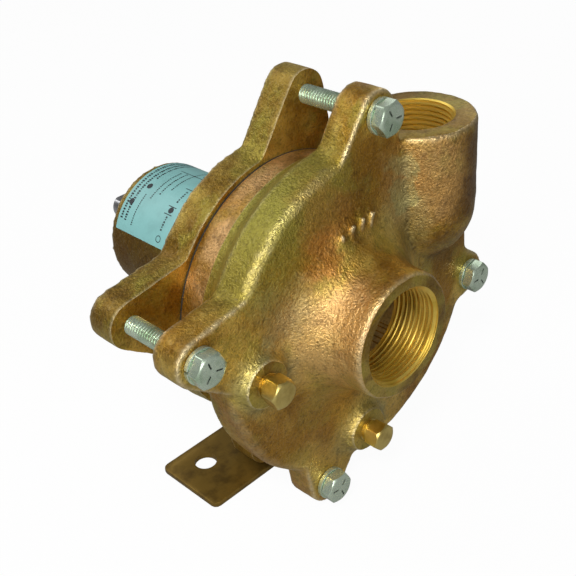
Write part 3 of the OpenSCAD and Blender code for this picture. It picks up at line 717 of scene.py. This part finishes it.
def casingCutters():
    face = station["casingFace"]
    joint = station["joint"]
    depth = joint - face
    wall = casing["wall"]
    inner = casing["scrollRadius"] - wall
    shoulder = casing["scrollRadius"] - wall * 1.3
    chamber = face + casing["frontWall"]
    room = turnedMesh([
        (0, chamber), (inner, chamber), (inner, face + depth * 0.4 - wall / 2),
        (shoulder - wall, face + depth * 0.62 - wall / 2),
        (casing["neckBore"] - wall, face + depth * 0.82 - wall), (0, face + depth * 0.82 - wall)], 128)
    room.transform(Matrix.Translation(casing["scrollShift"]))
    opening = rodMesh(chamber, joint + 5, casing["neckBore"], None, 128)
    rough = [room, opening]
    across, along = casing["dischargePlace"]
    top = casing["dischargeTop"]
    length = casing["threadLength"]
    thread = casing["suctionThread"]
    eye = rodMesh(length - 1, chamber + 1, casing["eyeRadius"], None, 96)
    throat = turnedMesh(
        arcPoints((0, casing["dischargeFoot"]), casing["throatRadius"], -90, 0, 10)
        + [(casing["throatRadius"], top - length + 1), (0, top - length + 1)], 96, "Z", (across, along, 0))
    rough += [eye, throat]
    neckRing = turnedMesh([
        (casing["neckRadius"], casing["machinedNeckStart"]), (90, casing["machinedNeckStart"]),
        (90, joint + 9), (casing["neckRadius"], joint + 9)], 128)
    lean = Matrix.Identity(4)
    lean[1][0], lean[1][2] = casing["neckLean"]
    neckRing.transform(lean)
    ring = shownObject(neckRing, "neckRing")
    spared = rodMesh(-5, top + 30, casing["dischargeRadius"] + 1.3, None, 96, "Z", (across, along, 0))
    cutAway(ring, [spared], finish["neck"])
    neckCut = ring.data
    bpy.data.objects.remove(ring)
    faces = [
        boxMesh((-60, -20, -60), (60, 0, 60)),
        rodMesh(top, top + 20, casing["dischargeRadius"] + 0.5, None, 96, "Z", (across, along, 0)),
        boxMesh((-90, joint, -90), (90, joint + 20, 90)),
    ]
    pitch = casing["threadPitch"]
    tooth = casing["threadDepth"]
    chamfer = casing["mouthChamfer"]
    outlet = casing["dischargeThread"]
    turned = [
        threadMesh(-3, length, thread, thread - tooth, pitch, 72),
        turnedMesh([(0, -2), (thread + chamfer, -2), (thread - chamfer, 1.8), (0, 1.8)], 96),
        threadMesh(top - length, top + 3, outlet, outlet - tooth, pitch, 72, "Z", (across, along, 0)),
        turnedMesh(
            [(0, top - 1.8), (outlet - chamfer, top - 1.8), (outlet + chamfer, top + 2), (0, top + 2)],
            96, "Z", (across, along, 0)),
    ]
    turned += atBolts(rodMesh(face - 5, face + 30, casing["boltHole"], None, 32))
    for x, z in casing["plugs"].values():
        seat = face - casing["plugBossHeight"]
        faces.append(rodMesh(face - 20, seat, casing["plugFacing"], None, 48, "Y", (x, 0, z)))
        turned.append(rodMesh(face - 9, chamber + 2, casing["plugHole"], None, 32, "Y", (x, 0, z)))
    return rough, neckCut, faces, turned


def makeCasing():
    made = shownObject(casingBlank(), "voluteCasing")
    meltTogether(made, casing["voxel"])
    evenOut(made, casing["evenRounds"])
    fillHollows(made, casing["fillRounds"], 0.5, casing["crispFillets"])
    evenOut(made, casing["evenRounds"])
    ruffle(made, casing["waveHeight"], casing["waveSize"])
    made.data.materials.clear()
    for look in ("casing", "neck", "rim", "turned"):
        made.data.materials.append(finish[look])
    rough, neckCut, faces, turned = casingCutters()
    cutAway(made, rough, finish["casing"])
    cutAway(made, [neckCut], finish["neck"])
    cutAway(made, faces, finish["rim"])
    cutAway(made, turned, finish["turned"])
    finishPiece(made, ["volute_casing"])


makeCasing()
print("volute casing made")


# Pedestal frame: the flange with its ears, and the bearing barrel.
pedestal = {
    "flangeFront": 59.4,
    "flangeRear": 60.8,
    "spigotStart": 56.8,
    "spigotRadius": 49.95,
    "earTip": 10.0,
    "earRun": 24.0,
    "earHalfRoots": (20.5, 20.0),
    "barrelRadius": 30.0,
    "barrelRoot": 4.0,
    "boltHole": 3.97,
    "weepHole": 4.0,
    "screwHole": 3.03,
    "voxel": 1.0,
    "evenRounds": (3, 4),
    "fillRounds": 45,
    "waveHeight": 0.16,
    "waveSize": 9.0,
    # radius and far end of each bore, from the spigot to the barrel's end
    "bores": [
        (17.0, 79.0), (14.35, 86.0), (7.85, 90.0), (16.3, 100.0), (17.55, 144.0), (18.5, 145.25),
        (17.55, 150.0),
    ],
    "weepPlace": (0, 95, 0),
    # across and up, also for the foot's screws
    "screwPlaces": ((-12.0, -46.0), (12.0, -46.0)),
}


def makePedestal():
    front, rear, end = station["flange"], station["barrel"], station["barrelEnd"]
    wide = pedestal["barrelRadius"]
    root = pedestal["barrelRoot"]
    flange = turnedMesh([
        (0, front - 1), (pedestal["flangeFront"], front - 1), (pedestal["flangeFront"], front),
        (pedestal["flangeRear"], rear), (0, rear)], 128)
    ears = atBolts(earMesh(
        front - 1, rear, rear, pedestal["earTip"], pedestal["earRun"], pedestal["earHalfRoots"]))
    barrel = turnedMesh([(0, rear - 3), (wide + root, rear - 3), (wide + root, rear), (wide, rear + root),
                         (wide, end), (0, end)], 96)
    made = shownObject(joinedMesh([flange, barrel] + ears, "pedestalFrame"), "pedestalFrame")
    meltTogether(made, pedestal["voxel"])
    firstRounds, lastRounds = pedestal["evenRounds"]
    evenOut(made, firstRounds)
    fillHollows(made, pedestal["fillRounds"])
    evenOut(made, lastRounds)
    ruffle(made, pedestal["waveHeight"], pedestal["waveSize"])
    made.data.materials.clear()
    for look in ("frame", "face", "turned"):
        made.data.materials.append(finish[look])
    spigot = rodMesh(pedestal["spigotStart"], front + 2, pedestal["spigotRadius"], None, 96)
    face = boxMesh((-95, front - 20, -95), (95, front, 95))
    last = pedestal["spigotStart"] - 5
    bores = [(0, last)]
    for radius, far in pedestal["bores"]:
        bores += [(radius, last), (radius, far)]
        last = far
    bores.append((0, last))
    weep = rodMesh(-wide - 5, -5, pedestal["weepHole"], None, 32, "Z", pedestal["weepPlace"])
    screws = [
        rodMesh(rear - 10, rear + 2, pedestal["screwHole"], None, 24, "Y", (x, 0, z))
        for x, z in pedestal["screwPlaces"]]
    holes = atBolts(rodMesh(front - 5, rear + 5, pedestal["boltHole"], None, 32))
    cutAway(made, [face], finish["face"])
    weldOn(made, [spigot], finish["turned"])
    cutAway(made, [turnedMesh(bores, 96), weep] + screws + holes, finish["turned"])
    finishPiece(made, ["pedestal_frame"])


makePedestal()
print("pedestal frame made")


# Fasteners. A head is a hexagon cut by a cone, and a shank has its real thread.
def headMesh(flats, height, coneShare, foot=0.0):
    shape = bmesh.new()
    bmesh.ops.create_cone(
        shape, cap_ends=True, cap_tris=False, segments=6, radius1=flats / math.sqrt(3),
        radius2=flats / math.sqrt(3), depth=height)
    bmesh.ops.translate(shape, vec=(0, 0, height / 2), verts=shape.verts)
    corners = [edge for edge in shape.edges if abs(edge.verts[0].co.z - edge.verts[1].co.z) > height / 2]
    bmesh.ops.bevel(
        shape, geom=corners, offset=0.35, segments=2, profile=0.5, affect="EDGES", material=-1)
    hexagon = shownObject(keptMesh(shape, "hexagon"), "hexagon")
    edge = flats * coneShare
    reach = flats * 0.60
    rise = (reach - edge) * math.tan(math.radians(30))
    cone = turnedMesh([
        (0, -1), (reach, -1), (reach, height - rise - 0.3), (edge + 0.5, height - 0.32),
        (edge, height - 0.05), (edge - 0.4, height), (0, height)], 72, "Z")
    coneObject = shownObject(cone, "cone")
    cut = hexagon.modifiers.new("cut", "BOOLEAN")
    cut.operation = "INTERSECT"
    cut.solver = "MANIFOLD"
    cut.object = coneObject
    head = applied(hexagon)
    bpy.data.objects.remove(hexagon)
    bpy.data.objects.remove(coneObject)
    meshes = [head]
    if foot:
        collar = flats * 0.47
        meshes.append(turnedMesh([(0, -foot), (collar, -foot), (collar, 0.6), (0, 0.6)], 48, "Z"))
    return joinedMesh(meshes, "head")


bolt = {
    "flats": 12.7,
    "height": 5.2,
    "washerFace": 0.3,
    "crest": 3.94,
    "root": 3.25,
    "pitch": 1.411,
    "shankEnd": 78.0,
    "markStart": 1.56,
    "markEnd": 4.55,
    "markHalfWidth": 0.28,
    "markRise": 0.3,
    "washerThickness": 2.0,
    "washerOuter": 7.2,
    "washerInner": 4.29,
    "washerSlit": 0.16,
    "turns": (20.0, 38.0, 11.0, 52.0),
}


# A screw along the shaft: its head stands at headPlace and points to the front or the back.
def screwMesh(flats, height, crest, root, pitch, headPlace, tip, turn, marks=0):
    front = -1 if tip > headPlace else 1
    head = headMesh(flats, height, 0.455, bolt["washerFace"])
    head.transform(Matrix.Translation((0, 0, bolt["washerFace"])))
    parts = [head]
    for i in range(marks):
        half = bolt["markHalfWidth"]
        bar = boxMesh(
            (bolt["markStart"], -half, height - 0.05), (bolt["markEnd"], half, height + bolt["markRise"]))
        bar.transform(Matrix.Rotation(math.tau * i / marks + 0.4, 4, "Z"))
        parts.append(bar)
    head = joinedMesh(parts, "head")
    tall = height + bolt["washerFace"] + bolt["markRise"] * (marks > 0)
    head.transform(Matrix.Scale(height / tall, 4, (0, 0, 1)))
    head.transform(Matrix.Rotation(math.radians(turn), 4, "Z"))
    head.transform(Matrix.Rotation(math.pi / 2 * -front, 4, "X"))
    head.transform(Matrix.Translation((0, headPlace, 0)))
    low, high = sorted((headPlace, tip))
    shank = threadMesh(low, high, crest, root, pitch, 24)
    return joinedMesh([head, shank], "screw")


def washerMesh(start, thickness, outer, inner, split=False):
    shape = bmesh.new()
    bevel = 0.25
    ring = [
        (inner, start), (outer - bevel, start), (outer, start + bevel),
        (outer, start + thickness - bevel), (outer - bevel, start + thickness), (inner, start + thickness)]
    corners = [shape.verts.new((radius, along, 0)) for radius, along in ring]
    line = [shape.edges.new(pair) for pair in zip(corners, corners[1:] + corners[:1])]
    turn = math.tau - bolt["washerSlit"] if split else math.tau
    bmesh.ops.spin(
        shape, geom=corners + line, cent=(0, 0, 0), axis=(0, 1, 0), angle=turn, steps=48,
        use_merge=not split)
    if split:
        bmesh.ops.holes_fill(shape, edges=[edge for edge in shape.edges if edge.is_boundary], sides=8)
    return keptMesh(shape, "washer")


def makeCasingBolts():
    face = station["casingFace"]
    seat = face - bolt["washerThickness"]
    screws = []
    for i, turn in enumerate(bolt["turns"]):
        screw = screwMesh(
            bolt["flats"], bolt["height"], bolt["crest"], bolt["root"], bolt["pitch"], seat,
            bolt["shankEnd"], turn, 3)
        screws.append(atBolts(screw)[i])
    made = shownObject(joinedMesh(screws, "casingBolts"), "casingBolts")
    made.data.materials.append(finish["zinc"])
    finishPiece(made, ["casing_bolts"], sharp=28)
    washer = washerMesh(seat, bolt["washerThickness"], bolt["washerOuter"], bolt["washerInner"], True)
    rings = atBolts(washer)
    made = shownObject(joinedMesh(rings, "lockWashers"), "lockWashers")
    made.data.materials.append(finish["zinc"])
    finishPiece(made, ["lock_washers"], sharp=28)


makeCasingBolts()

plug = {
    "flats": 11.1,
    "height": 6.5,
    "neck": 2.75,
    "neckRadius": 5.1,
    "crest": 5.1,
    "root": 4.5,
    "length": 9.0,
    "pitch": 0.941,
    "turns": {"sidePlug": 24.0, "lowerPlug": 44.0},
}


def makePlugs():
    seat = station["casingFace"] - casing["plugBossHeight"]
    for name, (x, z) in casing["plugs"].items():
        top = seat - plug["neck"]
        head = headMesh(plug["flats"], plug["height"], 0.44)
        head.transform(Matrix.Rotation(math.radians(plug["turns"][name]), 4, "Z"))
        head.transform(Matrix.Rotation(math.pi / 2, 4, "X"))
        head.transform(Matrix.Translation((0, top, 0)))
        wide, narrow = plug["neckRadius"] * 0.97, plug["neckRadius"] * 0.86
        neck = turnedMesh([
            (0, top - 0.5), (wide, top - 0.5), (wide, seat - 1.2), (narrow, seat - 0.8),
            (0, seat - 0.8)], 48)
        shank = threadMesh(
            seat - 0.9, seat + plug["length"], plug["crest"], plug["root"], plug["pitch"], 32)
        made = shownObject(joinedMesh([head, neck, shank], name), name)
        made.data.transform(Matrix.Translation((x, 0, z)))
        made.data.materials.append(finish["plug"])
        replaced = "side_drain_plug" if name == "sidePlug" else "lower_drain_plug"
        finishPiece(made, [replaced], sharp=28)


makePlugs()
print("fasteners made")


# Foot: a plate with cut corners, an upright, and a weld bead behind the upright.
foot = {
    "low": -91.5,
    "thickness": 2.6,
    "width": 109.0,
    "front": 63.0,
    "length": 37.5,
    "corner": 3.0,
    "holeGap": 77.0,
    "holePlace": 88.0,
    "holeRadius": 5.15,
    "uprightWidth": 40.0,
    "uprightThickness": 5.0,
    "uprightTop": -36.0,
    "screwClearance": 3.35,
    "edge": 0.35,
    "beadRadius": 1.9,
    "screw": {"flats": 10.0, "height": 4.0, "crest": 3.0, "root": 2.5, "pitch": 1.0, "depth": 9.0},
    "screwTurns": (17.0, 40.0),
    "washerThickness": 1.4,
    "washerRadius": 6.2,
}


# A flat plate drawn from a cube: its corners cut, then its edges eased.
def plateMesh(low, high, axis, corner):
    shape = bmesh.new()
    shape.from_mesh(boxMesh(low, high))
    upright = [
        edge for edge in shape.edges
        if abs((edge.verts[0].co - edge.verts[1].co).normalized()[axis]) > 0.9]
    bmesh.ops.bevel(
        shape, geom=upright, offset=corner, segments=3, profile=0.5, affect="EDGES", material=-1)
    rims = [edge for edge in shape.edges if edge.calc_face_angle(0) > 1.2]
    bmesh.ops.bevel(
        shape, geom=rims, offset=foot["edge"], segments=2, profile=0.5, affect="EDGES", material=-1)
    return keptMesh(shape, "plate")


def makeFoot():
    low, rear = foot["low"], station["barrel"]
    half = foot["width"] / 2
    top = low + foot["thickness"]
    plate = plateMesh(
        (-half, foot["front"], low), (half, foot["front"] + foot["length"], top), 2, foot["corner"])
    half = foot["uprightWidth"] / 2
    upright = plateMesh(
        (-half, rear, low + 0.4), (half, rear + foot["uprightThickness"], foot["uprightTop"]), 1, 3.0)
    bead = rodMesh(-half + 1, half - 1, foot["beadRadius"], None, 20, "Z")
    corner = (0, rear + foot["uprightThickness"] + 0.2, top - 0.3)
    bead.transform(Matrix.Translation(corner) @ Matrix.Rotation(math.pi / 2, 4, "Y"))
    made = shownObject(plate, "footBracket")
    made.data.materials.append(finish["foot"])
    weldOn(made, [upright, bead], finish["foot"])
    holes = [rodMesh(
        low - 2, top + 2, foot["holeRadius"], None, 64, "Z",
        (side * foot["holeGap"] / 2, foot["holePlace"], 0)) for side in (-1, 1)]
    holes += [
        rodMesh(rear - 2, rear + 8, foot["screwClearance"], None, 32, "Y", (x, 0, z))
        for x, z in pedestal["screwPlaces"]]
    cutAway(made, holes, finish["foot"])
    finishPiece(made, ["foot_bracket"])


def makeFootScrews():
    outer = station["barrel"] + foot["uprightThickness"]
    size = foot["screw"]
    thickness = foot["washerThickness"]
    screws, washers = [], []
    for (x, z), turn in zip(pedestal["screwPlaces"], foot["screwTurns"]):
        screw = screwMesh(
            size["flats"], size["height"], size["crest"], size["root"], size["pitch"],
            outer + thickness, station["barrel"] - size["depth"], turn)
        screw.transform(Matrix.Translation((x, 0, z)))
        screws.append(screw)
        washer = washerMesh(outer, thickness, foot["washerRadius"], foot["screwClearance"])
        washer.transform(Matrix.Translation((x, 0, z)))
        washers.append(washer)
    pieces = (("footScrews", screws, "foot_screws"), ("footWashers", washers, "foot_washers"))
    for name, meshes, node in pieces:
        made = shownObject(joinedMesh(meshes, name), name)
        made.data.materials.append(finish["zinc"])
        finishPiece(made, [node], sharp=28)


makeFoot()
makeFootScrews()
print("foot made")


# Label: a thin film round the barrel.
label = {
    "far": 144.5,
    "length": 44.0,
    "inner": 30.05,
    "thickness": 0.3,
    "edge": 0.12,
    "start": 40.0,
    "end": 158.0,
    "inkHeight": 0.05,
    # turn about the shaft and place along it of each round mark, and the marks' radii
    "dots": ((112.9, 136.3), (131.6, 140.0), (125.1, 115.2)),
    "dotRadius": 1.5,
    "rings": ((150.9, 115.1), (60.0, 112.0)),
    "ringRadius": 1.6,
    # rows of short bars: place along the shaft, first and last turn, height, pitch
    "rows": (
        (142.2, 46.0, 151.0, 1.5, 1.3), (139.4, 50.0, 150.0, 1.4, 1.2), (136.9, 50.0, 105.0, 1.1, 1.1),
        (134.6, 121.0, 152.0, 0.8, 1.0), (130.6, 86.0, 124.0, 0.8, 1.0), (127.4, 84.0, 119.0, 0.9, 1.1),
        (123.6, 60.0, 110.0, 0.8, 1.0), (115.2, 104.0, 119.0, 1.1, 1.2), (115.2, 131.0, 146.0, 1.1, 1.2),
        (120.0, 50.0, 80.0, 1.0, 1.1), (112.0, 50.0, 92.0, 1.0, 1.1),
    ),
    # thin lines: turn, first and last place
    "bars": ((121.5, 113.0, 118.0), (128.8, 113.0, 118.0), (100.5, 113.0, 118.0), (82.0, 106.0, 133.0)),
}


# A flat patch of print, bent round the barrel. Its points are (distance round, distance along).
def inkMesh(points, turn, along):
    shape = bmesh.new()
    radius = label["inner"] + label["thickness"] + label["inkHeight"]
    corners = []
    for across, up in points:
        angle = math.radians(turn) + across / radius
        corners.append(shape.verts.new((radius * math.cos(angle), along + up, radius * math.sin(angle))))
    shape.faces.new(corners)
    bmesh.ops.triangulate(shape, faces=shape.faces)
    for face in shape.faces:
        face.normal_update()
        if face.normal.dot(Vector((face.calc_center_median().x, 0, face.calc_center_median().z))) < 0:
            face.normal_flip()
    mesh = bpy.data.meshes.new("ink")
    shape.to_mesh(mesh)
    shape.free()
    return mesh


def inkMeshes():
    printed = []
    radius = label["inner"] + label["thickness"]
    for turn, along in label["dots"]:
        printed.append(inkMesh(arcPoints((0, 0), label["dotRadius"], 0, 345, 23), turn, along))
    for turn, along in label["rings"]:
        for i in range(24):
            inner = arcPoints((0, 0), label["ringRadius"] - 0.35, i * 15, i * 15 + 15, 1)
            outer = arcPoints((0, 0), label["ringRadius"], i * 15, i * 15 + 15, 1)
            printed.append(inkMesh(inner + outer[::-1], turn, along))
    for along, first, last, height, pitch in label["rows"]:
        for i in range(int(math.radians(last - first) * radius / pitch)):
            reach = height / 2 * (0.6 + 0.4 * abs(math.sin(7.3 * i + along)))
            width = pitch * (0.42 + 0.3 * abs(math.sin(4.1 * i + first)))
            turn = first + math.degrees(i * pitch / radius)
            dash = [(0, -reach), (width, -reach), (width, reach), (0, reach)]
            printed.append(inkMesh(dash, turn, along))
    for turn, first, last in label["bars"]:
        printed.append(inkMesh([(0, 0), (0.4, 0), (0.4, last - first), (0, last - first)], turn, first))
    return printed


def makeLabel():
    shape = bmesh.new()
    near = label["far"] - label["length"]
    outer = label["inner"] + label["thickness"]
    edge = label["edge"]
    ring = [
        (label["inner"], near), (outer - edge, near), (outer, near + edge), (outer, label["far"] - edge),
        (outer - edge, label["far"]), (label["inner"], label["far"])]
    corners = [shape.verts.new((radius, along, 0)) for radius, along in ring]
    line = [shape.edges.new(pair) for pair in zip(corners, corners[1:] + corners[:1])]
    turn = Matrix.Rotation(-math.radians(label["start"]), 3, "Y")
    bmesh.ops.rotate(shape, verts=corners, cent=(0, 0, 0), matrix=turn)
    bmesh.ops.spin(
        shape, geom=corners + line, cent=(0, 0, 0), axis=(0, 1, 0),
        angle=-math.radians(label["end"] - label["start"]), steps=72)
    bmesh.ops.holes_fill(shape, edges=[item for item in shape.edges if item.is_boundary], sides=8)
    film = keptMesh(shape, "film")
    faces = len(film.polygons)
    made = shownObject(joinedMesh([film] + inkMeshes(), "dataLabel"), "dataLabel")
    made.data.materials.append(finish["label"])
    made.data.materials.append(finish["ink"])
    for polygon in made.data.polygons[faces:]:
        polygon.material_index = 1
    finishPiece(made, ["data_label"])


makeLabel()
print("label made")

# Finishes and the CAD nodes that get them. A node that isn't named here is ground steel.
carried = {
    "frame": ["pedestal_frame"],
    "gasket": ["casing_gasket"],
    "zinc": ["casing_bolts", "lock_washers", "foot_screws", "foot_washers"],
    "plug": ["side_drain_plug", "lower_drain_plug"],
    "foot": ["foot_bracket"],
    "label": ["data_label"],
    "turned": ["impeller"],
    "ceramic": ["seal_seat"],
    "carbon": ["seal_carbon_ring"],
    "rubber": ["seal_seat_cup", "seal_bellows", "slinger"],
}
looks = {node: look for look, nodes in carried.items() for node in nodes}
for nodeName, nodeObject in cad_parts.items():
    nodeObject.data.materials.clear()
    nodeObject.data.materials.append(finish[looks.get(nodeName, "steel")])
print("carried nodes finished")
